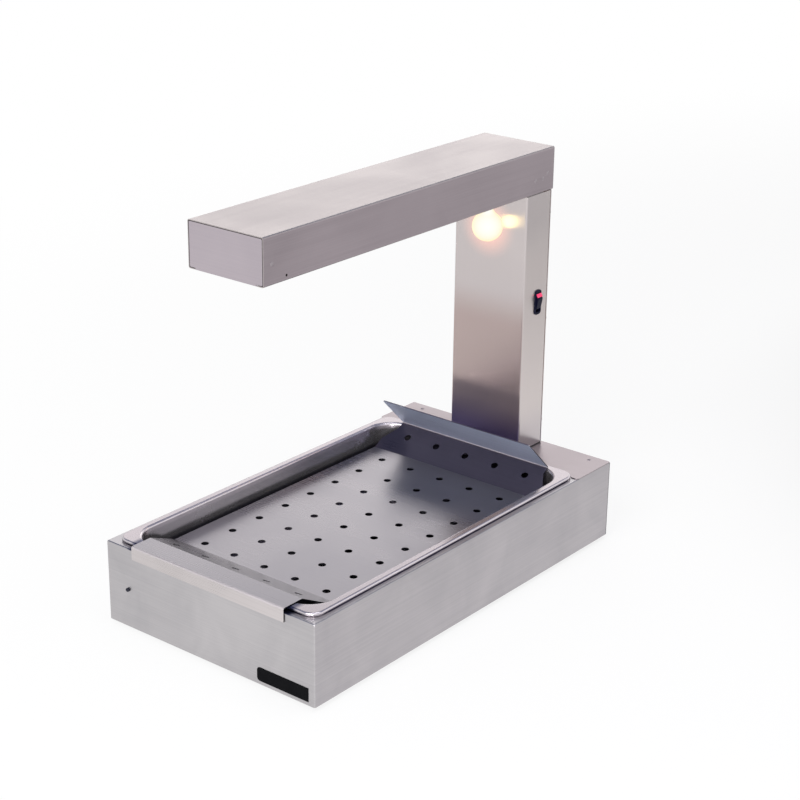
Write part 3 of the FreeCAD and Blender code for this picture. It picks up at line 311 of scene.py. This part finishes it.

# Painted shade on the ledge where the foot of the pan's rim stands on it. The shade follows the rim's
# outline, a rectangle with round corners, and the mask falls with the distance from that line.
rim_painted_shade = (0.20, 0.20, 0.31)
rim_shade_width = 0.0038
rim_corner = 0.028
rim_low, rim_high = (np.array(corner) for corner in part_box("gastronorm_pan"))
rim_middle, rim_half = (rim_high + rim_low) / 2, (rim_high - rim_low) / 2
rim_shade, given, ends = group(
    "painted_rim_shade",
    [("Middle", "NodeSocketVector", (*rim_middle[:2], 0.0)),
     ("Half", "NodeSocketVector", (*rim_half[:2], 0.0)),
     ("Corner", "NodeSocketFloat", rim_corner), ("Width", "NodeSocketFloat", rim_shade_width)],
    mask_end)
at = node(rim_shade, "ShaderNodeTexCoord").outputs["Object"]
flat = vector_of(rim_shade, "MULTIPLY", at, (1.0, 1.0, 0.0))
mirrored = vector_of(rim_shade, "ABSOLUTE", vector_of(rim_shade, "SUBTRACT", flat, given["Middle"]))
corner = node(rim_shade, "ShaderNodeCombineXYZ", {"X": given["Corner"], "Y": given["Corner"]})
core = vector_of(rim_shade, "SUBTRACT", given["Half"], corner.outputs[0])
beyond = vector_of(rim_shade, "SUBTRACT", mirrored, core)
outer = vector_of(rim_shade, "MAXIMUM", beyond, (0.0, 0.0, 0.0))
gap = value_of(rim_shade, "SUBTRACT", vector_of(rim_shade, "LENGTH", outer), given["Corner"])
blotch = noise(rim_shade, at, Scale=55.0, Detail=4.0)
edge = value_of(rim_shade, "MULTIPLY", blotch, given["Width"])
rim_shade.links.new(ramped(rim_shade, gap, edge, 0.0), ends["Mask"])
# Painted shade along the foot of the rim.
tinted(base_steel, group_mask(base_steel, rim_shade), rim_painted_shade)
# Painted shade: the base's side walls are tinted darker than its front.
tinted(base_steel, group_mask(base_steel, sideways), base_side_painted_shade)

# Darkness in the gaps beside the two ends of the insert's flange, where the rim and the ledge
# see only each other. The mask is a product of three ramps, one along each axis.
nook_tint = (0.10, 0.11, 0.22)
nook_runs = {"Across": 0.009, "Front": 0.007, "Level": -0.001}
nook, given, ends = group(
    "flange_nook",
    [("Across", "NodeSocketFloat", 0.129), ("Front", "NodeSocketFloat", -0.288),
     ("Level", "NodeSocketFloat", 0.1135)],
    mask_end)
at = node(nook, "ShaderNodeSeparateXYZ", {0: node(nook, "ShaderNodeTexCoord").outputs["Object"]}).outputs
measures = {"Across": value_of(nook, "ABSOLUTE", at["X"]), "Front": at["Y"], "Level": at["Z"]}
fades = [ramped(nook, measures[label], value_of(nook, "ADD", given[label], run), given[label])
         for label, run in nook_runs.items()]
pair = value_of(nook, "MULTIPLY", fades[0], fades[1])
nook.links.new(value_of(nook, "MULTIPLY", pair, fades[2]), ends["Mask"])
tinted(base_steel, group_mask(base_steel, nook), nook_tint)


# Rear deck. A separate flat plate of the same sheet, which closes the base behind the pan. Two
# rivets hold it, and its grain runs across the warmer.
deck_steel = brushed_steel("deck_steel", light=(0.37, 0.322, 0.335), dark=(0.315, 0.277, 0.294),
                           grain=(3.0, 700.0, 3.0), smooth=0.28, rough=0.40)
finish(deck_steel, "rear_deck", "deck_rivets")


# Floor, brackets and plates that only hold things. They are cut and folded from mill-finish
# steel, which is duller than the outside.
plain_steel = brushed_steel("plain_steel", light=(0.40, 0.40, 0.41), dark=(0.30, 0.30, 0.31),
                            grain=(60.0, 90.0, 60.0), smooth=0.38, rough=0.52, cloud=22.0)
finish(plain_steel, "base_floor", "column_crossmember", "column_foot_bracket", "column_head_bracket",
       "element_brackets", "terminal_plate", "lamp_plate")


# Screws, bolts, nuts and terminals. They are bought parts of rolled and turned steel with a
# bright zinc plating, so their grain is fine and has no direction.
fine_grain = (400.0, 400.0, 400.0)
fastener_steel = brushed_steel("fastener_steel", light=(0.62, 0.61, 0.60), dark=(0.48, 0.47, 0.47),
                               grain=fine_grain, smooth=0.22, rough=0.34, cloud=160.0, depth=0.00002)
finish(fastener_steel, "floor_screws", "foot_screws", "foot_nuts", "foot_bolts", "foot_bolt_nuts",
       "column_screws", "element_terminals", "switch_terminals", "earth_stud", "earth_nut")


# Rubber and black mouldings. The feet, the gasket under the column and the grommet are rubber,
# and the front plug, the gland and its nut are black plastic. All have a faint bloom and pimples.
bloom_low, bloom_high = 0.35, 0.65
moulded_depth, moulded_relief = 0.00003, 0.4
moulded, given, ends = group(
    "moulded_grain",
    [("Grain", "NodeSocketFloat", 1500.0), ("Light", "NodeSocketColor", (0.03, 0.03, 0.03, 1)),
     ("Dark", "NodeSocketColor", (0.015, 0.015, 0.015, 1)), ("Smooth", "NodeSocketFloat", 0.4),
     ("Rough", "NodeSocketFloat", 0.6)],
    coat_ends)
at = node(moulded, "ShaderNodeTexCoord").outputs["Object"]
pimple = noise(moulded, at, Scale=given["Grain"], Detail=2.0)
bloom = noise(moulded, at, Scale=60.0, Detail=3.0)
coat_outputs(moulded, ends, bloom, bloom_low, bloom_high, given, pimple)


def moulding(name, light, dark, smooth, rough, **constants):
    """Moulded plastic, rubber or ceramic."""
    values = {"Light": (*light, 1), "Dark": (*dark, 1), "Smooth": smooth, "Rough": rough}
    return coated(name, moulded, values, moulded_depth, moulded_relief, constants)


rubber = moulding("black_rubber", light=(0.035, 0.034, 0.034), dark=(0.018, 0.018, 0.018),
                  smooth=0.62, rough=0.8)
finish(rubber, "rubber_feet", "column_gasket", "wire_grommet")
black_plastic = moulding("black_plastic", light=(0.012, 0.014, 0.030), dark=(0.007, 0.008, 0.018),
                         smooth=0.30, rough=0.42, Specular_IOR_Level=0.25)
finish(black_plastic, "front_plug", "cable_gland", "gland_locknut")


# Plate on the front wall. A thin plate, bare black with a fine bevel, stuck on near the right
# end of the front. Its left corners are round and its right ones square.
plate_left, plate_right = 0.0808, 0.1613
plate_low, plate_high = 0.0107, 0.0290
plate_round = 0.0048
plate_steps = 9
plate_thickness = 0.0006
plate_bevel = 0.0003
front_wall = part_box("base_shell")[0][1]


def skin_over(name, rings, smooth):
    """Closed skin over a stack of rings of points: quads join neighbouring rings, and a fan to the
    middle closes each end. The rings turn to the left round the way that the stack goes."""
    count, sides = rings.shape[:2]
    near = np.arange(sides)
    far = (near + 1) % sides
    steps = (np.arange(count - 1) * sides)[:, None]
    quads = np.stack([steps + near, steps + far, steps + sides + far, steps + sides + near], -1)
    quads = quads.reshape(-1, 4)
    last = (count - 1) * sides
    low = np.stack([np.full(sides, count * sides), far, near], -1)
    high = np.stack([np.full(sides, count * sides + 1), last + near, last + far], -1)
    points = np.concatenate([rings.reshape(-1, 3), rings[0].mean(0)[None], rings[-1].mean(0)[None]])
    return surface(name, points.tolist(), quads.tolist() + low.tolist() + high.tolist(), smooth)


def plate_ring(inset, depth):
    """Outline of the plate drawn in by an inset: two square corners, then two quarter circles."""
    turn = np.linspace(np.pi / 2, np.pi, plate_steps)
    radius = plate_round - inset
    middle = plate_left + plate_round
    x = np.concatenate([[plate_right - inset] * 2, middle + radius * np.cos(turn),
                        middle + radius * np.cos(turn + np.pi / 2)])
    z = np.concatenate([[plate_low + inset, plate_high - inset],
                        plate_high - plate_round + radius * np.sin(turn),
                        plate_low + plate_round + radius * np.sin(turn + np.pi / 2)])
    return np.stack([x, np.full(len(x), front_wall - depth), z], -1)


plate_rings = [plate_ring(0.0, 0.0), plate_ring(0.0, plate_thickness - plate_bevel),
               plate_ring(plate_bevel, plate_thickness)]
plate = skin_over("front_plate", np.stack(plate_rings), False)
plate_look = moulding("plate_black", light=(0.005, 0.005, 0.006), dark=(0.003, 0.003, 0.004),
                      smooth=0.3, rough=0.42, Specular_IOR_Level=0.03)
plate.data.materials.append(plate_look)
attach(plate, "base")


# Column. A folded channel of brushed steel with the grain upright, closed by a screwed cover.
# Its sides have painted light below the arm, and its front has painted shade towards the foot.
up, front = (0, 0, 1), (0, -1, 0)
facing_front = (0.6, 0.9)
side_heights, column_side_painted_light = (0.45, 0.37), (1.14, 1.13, 1.11)
low_front_heights, low_front_painted_shade = (0.35, 0.29), (0.84, 0.745, 0.715)
foot_heights, foot_front_painted_reflection, foot_side_painted_shade = (0.19, 0.125), (0.43, 0.44, 0.87), (0.86, 0.87, 0.91)
ramp, given, ends = group(
    "ramp_mask",
    [("Vector", "NodeSocketVector", (0.0, 0.0, 0.0)), ("Along", "NodeSocketVector", up),
     ("From", "NodeSocketFloat", 0.0), ("To", "NodeSocketFloat", 1.0)],
    mask_end)
reach = vector_of(ramp, "DOT_PRODUCT", given["Vector"], given["Along"])
ramp.links.new(ramped(ramp, reach, given["From"], given["To"]), ends["Mask"])


def ramp_mask(look, coordinate, along, run):
    """Mask that rises from 0 to 1 over a run of a coordinate measured along a direction."""
    tree = look.node_tree
    measured = node(tree, "ShaderNodeTexCoord").outputs[coordinate]
    values = {"Vector": measured, "Along": along, "From": run[0], "To": run[1]}
    return node(tree, "ShaderNodeGroup", values, node_tree=ramp).outputs["Mask"]


def all_masks(look, first, *others):
    """Mask where every mask holds: their product."""
    for other in others:
        first = value_of(look.node_tree, "MULTIPLY", first, other)
    return first


column_steel = brushed_steel("column_steel", light=(0.59, 0.54, 0.535), dark=(0.56, 0.51, 0.51),
                             grain=(1100.0, 1100.0, 2.0), smooth=0.235, rough=0.255, depth=0.000002,
                             Metallic=0.92, Anisotropic=0.8)
sides = group_mask(column_steel, sideways)
ahead = ramp_mask(column_steel, "Normal", front, facing_front)
below_arm = ramp_mask(column_steel, "Object", up, side_heights)
low_front = ramp_mask(column_steel, "Object", up, low_front_heights)
foot = ramp_mask(column_steel, "Object", up, foot_heights)
# Painted light on the sides below the arm, painted shade low on the front, and at the foot a painted blue
# reflection on the front and painted shade on the sides.
tinted(column_steel, all_masks(column_steel, below_arm, sides), column_side_painted_light)
tinted(column_steel, all_masks(column_steel, low_front, ahead), low_front_painted_shade)
tinted(column_steel, all_masks(column_steel, foot, ahead), foot_front_painted_reflection)
tinted(column_steel, all_masks(column_steel, foot, sides), foot_side_painted_shade)
finish(column_steel, "column_channel", "column_back_cover")


# Arm. A folded box of brushed sheet, open below, whose grain runs along it. A folded cap is sunk
# in each end and held by small rivets.
arm_side_painted_shade = (0.83, 0.79, 0.855)
arm_steel = brushed_steel("arm_steel", light=(0.475, 0.432, 0.43), dark=(0.41, 0.371, 0.371),
                          grain=(700.0, 3.0, 700.0), smooth=0.32, rough=0.44)
# Painted shade: the arm's side walls are tinted darker than its top.
tinted(arm_steel, group_mask(arm_steel, sideways), arm_side_painted_shade)
finish(arm_steel, "arm_housing")
cap_steel = brushed_steel("cap_steel", light=(0.51, 0.455, 0.49), dark=(0.455, 0.405, 0.445),
                          grain=along_sheet, smooth=0.32, rough=0.44)
finish(cap_steel, "arm_front_cap", "arm_back_cap")
rivet_look = brushed_steel("rivet_steel", light=(0.40, 0.36, 0.38), dark=(0.32, 0.285, 0.305),
                           grain=fine_grain, smooth=0.34, rough=0.46, cloud=160.0, depth=0.00002)
finish(rivet_look, "arm_rivets")


# Heater in the arm. A folded reflector of bright aluminium stands over a bent rod in a dark
# sheath, whose ends are held in ceramic bushes.
reflector_look = brushed_steel("reflector_aluminium", light=(0.80, 0.79, 0.77), dark=(0.68, 0.67, 0.66),
                               grain=(500.0, 3.0, 500.0), smooth=0.16, rough=0.28, cloud=14.0)
finish(reflector_look, "reflector")
sheath_look = brushed_steel("element_sheath", light=(0.16, 0.13, 0.11), dark=(0.07, 0.06, 0.06),
                            grain=(80.0, 20.0, 80.0), smooth=0.45, rough=0.65, cloud=60.0, Metallic=0.7)
finish(sheath_look, "heating_element")
ceramic_look = moulding("ceramic", light=(0.80, 0.77, 0.70), dark=(0.70, 0.67, 0.60), smooth=0.3, rough=0.5)
finish(ceramic_look, "ceramic_bushes")


# Lamp. A small round lamp, lit, hangs under the arm before the column and lights the tray. Its
# blown, frosted bulb has a ball, a hollow shoulder and a neck, which is held in a screw cap.
lamp_place = Vector((0.0135, 0.2150, 0.4372))
ball_radius = 0.0205
neck_radius = 0.0059
shoulder_radius = 0.016
neck_height = 0.036
bulb_sides = 64
ball_rings, shoulder_rings = 30, 10
ball_start = 0.04
bulb_white, bulb_rim = (1.0, 1.0, 0.96, 1), (1.0, 0.86, 0.46, 1)

# The profile is the ball's circle up to where it touches the shoulder's hollow arc, then that arc,
# then the neck. Each radius is turned round the upright axis at its height.
across = neck_radius + shoulder_radius
rise = math.sqrt((ball_radius + shoulder_radius) ** 2 - across ** 2)
lean = math.atan2(across, rise)
ball_turn = np.linspace(ball_start, np.pi - lean, ball_rings)
hollow_turn = np.linspace(lean, np.pi / 2, shoulder_rings)[1:]
bulb_radii = np.concatenate([ball_radius * np.sin(ball_turn), across - shoulder_radius * np.sin(hollow_turn),
                             [neck_radius]])
bulb_heights = np.concatenate([-ball_radius * np.cos(ball_turn), rise - shoulder_radius * np.cos(hollow_turn),
                               [neck_height]])
turn = np.arange(bulb_sides) * 2 * np.pi / bulb_sides
bulb_rings = np.stack([bulb_radii[:, None] * np.cos(turn), bulb_radii[:, None] * np.sin(turn),
                       np.repeat(bulb_heights[:, None], bulb_sides, 1)], -1)
bulb = skin_over("lamp_bulb", bulb_rings + np.array(lamp_place), True)
glass_look, tree, skin = shader("lamp_glass", Base_Color=(0.02, 0.02, 0.02, 1), Roughness=0.4, IOR=1.45,
                                Specular_IOR_Level=0.1, Emission_Strength=1.0)
rimward = node(tree, "ShaderNodeLayerWeight", {"Blend": 0.5}).outputs["Facing"]
tree.links.new(blended(tree, rimward, bulb_white, bulb_rim), skin.inputs["Emission Color"])
bulb.data.materials.append(glass_look)
bulb.visible_shadow = False
bulb.visible_glossy = False
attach(bulb, "base")
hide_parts("lamp_glass")
lamp_metal = brushed_steel("lamp_metal", light=(0.72, 0.66, 0.52), dark=(0.60, 0.54, 0.42),
                           grain=(300.0, 300.0, 300.0), smooth=0.2, rough=0.35, cloud=120.0)
finish(lamp_metal, "lamp_cap")
holder_look = moulding("holder_plastic", light=(0.62, 0.60, 0.55), dark=(0.54, 0.52, 0.47),
                       smooth=0.35, rough=0.5)
finish(holder_look, "lamp_holder")

# Painted lamplight: the column's brushed face glows round the lamp with a warm emission that fades with
# distance.
painted_glow, given, ends = group(
    "painted_lamp_glow",
    [("Middle", "NodeSocketVector", (-0.004, 0.2405, 0.428)), ("Reach", "NodeSocketFloat", 0.049),
     ("Tint", "NodeSocketColor", (0.62, 0.18, 0.08, 1))],
    [("Colour", "NodeSocketColor")])
apart = vector_of(painted_glow, "DISTANCE", node(painted_glow, "ShaderNodeTexCoord").outputs["Object"], given["Middle"])
nearness = ramped(painted_glow, apart, given["Reach"], 0.0)
painted_glow.links.new(blended(painted_glow, nearness, (0, 0, 0, 1), given["Tint"]), ends["Colour"])
tree = column_steel.node_tree
column_skin = skin_of(column_steel)
column_skin.inputs["Emission Strength"].default_value = 1.0
column_painted_glow = node(tree, "ShaderNodeGroup", node_tree=painted_glow)
tree.links.new(column_painted_glow.outputs["Colour"], column_skin.inputs["Emission Color"])

# The lamp's own light, a small point a little under the middle of the bulb.
shine_drop = Vector((0, 0, 0.005))
shine = bpy.data.lights.new("lamp_shine", "POINT")
shine.energy = 0.013
shine.color = (1.0, 0.76, 0.24)
shine.shadow_soft_size = 0.009
glow_lamp = bpy.data.objects.new("lamp_shine", shine)
bpy.context.scene.collection.objects.link(glow_lamp)
glow_lamp.location = lamp_place - shine_drop
glow_lamp.visible_camera = False


# Switch and terminal block. The rocker and its frame are moulded in a deep navy black, with a
# red band on the rocker's upper slope. The terminal block in the base is white.
switch_look = moulding("switch_black", light=(0.007, 0.008, 0.026), dark=(0.004, 0.005, 0.018),
                       smooth=0.30, rough=0.40, Specular_IOR_Level=0.08)
finish(switch_look, "switch_body", "switch_rocker")
# The red band also has a faint red emission, a painted glow that brightens it.
band_look = moulding("switch_red", light=(0.72, 0.05, 0.14), dark=(0.60, 0.035, 0.11),
                     smooth=0.25, rough=0.35, Specular_IOR_Level=0.3,
                     Emission_Color=(0.9, 0.06, 0.17, 1), Emission_Strength=0.35)
finish(band_look, "rocker_band")
block_look = moulding("block_plastic", light=(0.72, 0.70, 0.64), dark=(0.64, 0.62, 0.56),
                      smooth=0.35, rough=0.5)
finish(block_look, "terminal_block")


# Pan. Deep-drawn stainless steel with a rolled rim. The level top of the rim has painted shade and
# its right flank a painted highlight. Inside the well, the lower part and the wall behind the insert have
# painted shade.
right, left, back = (1, 0, 0), (-1, 0, 0), (0, 1, 0)
rim_heights = (0.110, 0.114)
rim_level, rim_top_painted_shade = (0.93, 0.985), (0.68, 0.655, 0.67)
rim_outward, rim_flank_painted_highlight = (0.15, 0.5), (1.3, 1.27, 1.28)
lower_heights, well_low_painted_shade = (0.0945, 0.089), (0.30, 0.30, 0.37)
behind_slope_painted_shade = (0.10, 0.10, 0.12)
rear_wall_run, rear_wall_heights, rear_wall_ends = (0.185, 0.19), (0.109, 0.107), (0.115, 0.105)
inside_fade = -0.005

# The inside of the well is where the surface faces a point above its middle.
well, given, ends = group("well_inside", [("Middle", "NodeSocketVector", (0.0, -0.04, 0.2))], mask_end)
place = node(well, "ShaderNodeTexCoord").outputs
from_middle = vector_of(well, "SUBTRACT", place["Object"], given["Middle"])
outwards = vector_of(well, "DOT_PRODUCT", place["Normal"], from_middle)
well.links.new(ramped(well, outwards, 0.0, inside_fade), ends["Mask"])

pan_steel = brushed_steel("pan_steel", light=(0.62, 0.585, 0.61), dark=(0.52, 0.49, 0.515),
                          grain=(40.0, 6.0, 40.0), smooth=0.18, rough=0.30, cloud=9.0, Metallic=0.86)
high = ramp_mask(pan_steel, "Object", up, rim_heights)
level = ramp_mask(pan_steel, "Normal", up, rim_level)
outward = ramp_mask(pan_steel, "Normal", right, rim_outward)
within = group_mask(pan_steel, well)
lower = ramp_mask(pan_steel, "Object", up, lower_heights)
rear_wall = [ramp_mask(pan_steel, "Object", back, rear_wall_run),
             ramp_mask(pan_steel, "Object", up, rear_wall_heights),
             ramp_mask(pan_steel, "Object", right, rear_wall_ends),
             ramp_mask(pan_steel, "Object", left, rear_wall_ends)]
# Painted shade on the rim's level top, a painted highlight on its right flank, painted shade low in the well,
# behind the insert's slope and in the flange nooks.
tinted(pan_steel, all_masks(pan_steel, high, level), rim_top_painted_shade)
tinted(pan_steel, all_masks(pan_steel, high, outward), rim_flank_painted_highlight)
tinted(pan_steel, all_masks(pan_steel, lower, within), well_low_painted_shade)
tinted(pan_steel, all_masks(pan_steel, *rear_wall, within), behind_slope_painted_shade)
tinted(pan_steel, group_mask(pan_steel, nook), nook_tint)
finish(pan_steel, "gastronorm_pan")


# Insert. A folded, perforated tray of brushed sheet, hooked over the front of the base. Its lips
# have painted light and its rear fold a painted highlight, with a lower metallic share on the lip face
# and the folds; its rear slope, its front fold and its sheared edges have painted shade.
front_lip_run, front_lip_painted_light = (0.3090, 0.3112), (2.05, 2.0, 1.85)
back_lip_heights, back_lip_painted_light = (0.1215, 0.124), (1.7, 1.7, 1.7)
lip_face_turn, lip_face_painted_light, lip_face_metallic = (0.5, 1.0), (1.2, 1.4, 1.6), 0.45
back_fold_low, back_fold_high = (0.1206, 0.1211), (0.1232, 0.1222)
back_fold_painted_highlight, back_fold_metallic = (2.2, 2.2, 2.2), 0.2
slope_turn, slope_run, slope_painted_shade = (1.1, 1.3), (0.0, 0.05), (0.42, 0.38, 0.44)
front_fold_turn, front_fold_run = (1.03, 1.15), (0.304, 0.308)
front_fold_painted_shade, front_fold_metallic = (0.86, 0.85, 0.87), 0.3
sheared_edge_painted_shade = (0.15, 0.15, 0.16)
front_and_up, front_and_down = (0, -1, 1), (0, -1, -1)


def dulled(look, mask, metallic):
    """Lowers a material's metallic share to a value where a mask is 1, so that its diffuse colour shows there
    as part of the painted light.
    """
    tree = look.node_tree
    share = skin_of(look).inputs["Metallic"]
    under = share.links[0].from_socket if share.links else share.default_value
    tree.links.new(ramped(tree, mask, 0.0, 1.0, under, metallic, "LINEAR"), share)


insert_steel = brushed_steel("insert_steel", light=(0.32, 0.305, 0.33), dark=(0.262, 0.25, 0.27),
                             grain=(3.0, 700.0, 700.0), smooth=0.24, rough=0.36)
front_lip = ramp_mask(insert_steel, "Object", front, front_lip_run)
back_lip = ramp_mask(insert_steel, "Object", up, back_lip_heights)
lip_face = all_masks(insert_steel, back_lip, ramp_mask(insert_steel, "Normal", front_and_down, lip_face_turn))
back_fold = all_masks(insert_steel, ramp_mask(insert_steel, "Object", up, back_fold_low),
                      ramp_mask(insert_steel, "Object", up, back_fold_high))
rear_slope = all_masks(insert_steel, ramp_mask(insert_steel, "Normal", front_and_up, slope_turn),
                       ramp_mask(insert_steel, "Object", back, slope_run))
front_fold = all_masks(insert_steel, ramp_mask(insert_steel, "Normal", front_and_up, front_fold_turn),
                       ramp_mask(insert_steel, "Object", front, front_fold_run))
# Painted light on the lips, a painted highlight on the rear fold, painted shade on the rear slope, the front
# fold and the sheared edges.
tinted(insert_steel, front_lip, front_lip_painted_light)
tinted(insert_steel, back_lip, back_lip_painted_light)
tinted(insert_steel, lip_face, lip_face_painted_light)
tinted(insert_steel, back_fold, back_fold_painted_highlight)
tinted(insert_steel, rear_slope, slope_painted_shade)
tinted(insert_steel, front_fold, front_fold_painted_shade)
tinted(insert_steel, group_mask(insert_steel, sideways), sheared_edge_painted_shade)
# A lower metallic share on the lip face and the folds, part of their painted light.
dulled(insert_steel, lip_face, lip_face_metallic)
dulled(insert_steel, back_fold, back_fold_metallic)
dulled(insert_steel, front_fold, front_fold_metallic)
finish(insert_steel, "drain_insert")
